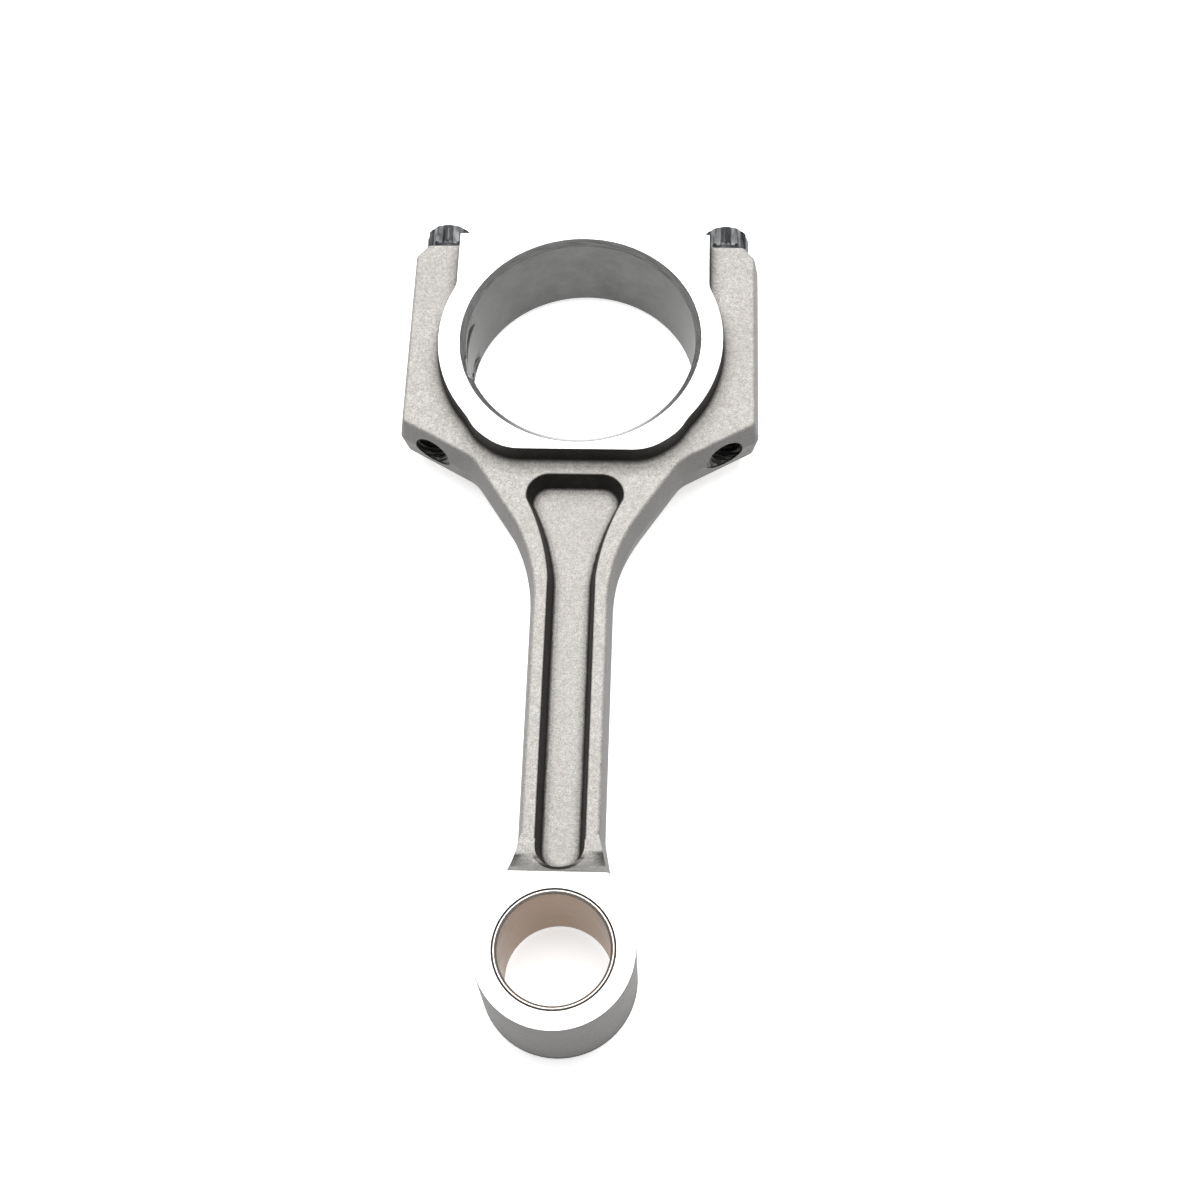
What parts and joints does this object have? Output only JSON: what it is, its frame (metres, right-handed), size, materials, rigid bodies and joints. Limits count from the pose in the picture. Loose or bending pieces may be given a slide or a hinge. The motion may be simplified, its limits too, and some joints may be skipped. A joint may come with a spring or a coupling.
{
  "type": "connecting rod",
  "caption": "Forged I-beam engine connecting rod with a bolted, fracture-split big-end cap and a bronze-bushed piston-pin eye.",
  "frame": {"origin": "centre of the big-end (crankpin) bore, halfway through its width, on the joint plane between rod and cap", "axes": "+Z along the crankpin bore, up as the rod lies on its side; +Y along the rod from the piston-pin end to the cap; +X across the rod to the right-hand bolt"},
  "size_m": [0.0804, 0.1918, 0.0228],
  "materials": {
    "forged_steel": "shot-blasted forging, bright milled end faces and bored holes",
    "bronze": "finely bored bronze bush",
    "bolt_steel": "dark phosphate, oiled"
  },
  "bodies": {
    "rod": {"rod_body": "forged_steel", "small_end_bush": "bronze"},
    "cap": {"rod_cap": "forged_steel"},
    "left_bolt": {"left_cap_bolt": "bolt_steel"},
    "right_bolt": {"right_cap_bolt": "bolt_steel"}
  },
  "joints": [
    {"name": "cap_lift", "type": "slide", "parent": "rod", "child": "cap", "axis": [0, 1, 0], "range_m": [0, 0.03]},
    {"name": "left_bolt_draw", "type": "slide", "parent": "cap", "child": "left_bolt", "axis": [0, 1, 0], "range_m": [0, 0.05]},
    {"name": "right_bolt_draw", "type": "slide", "parent": "cap", "child": "right_bolt", "axis": [0, 1, 0], "range_m": [0, 0.05]}
  ]
}
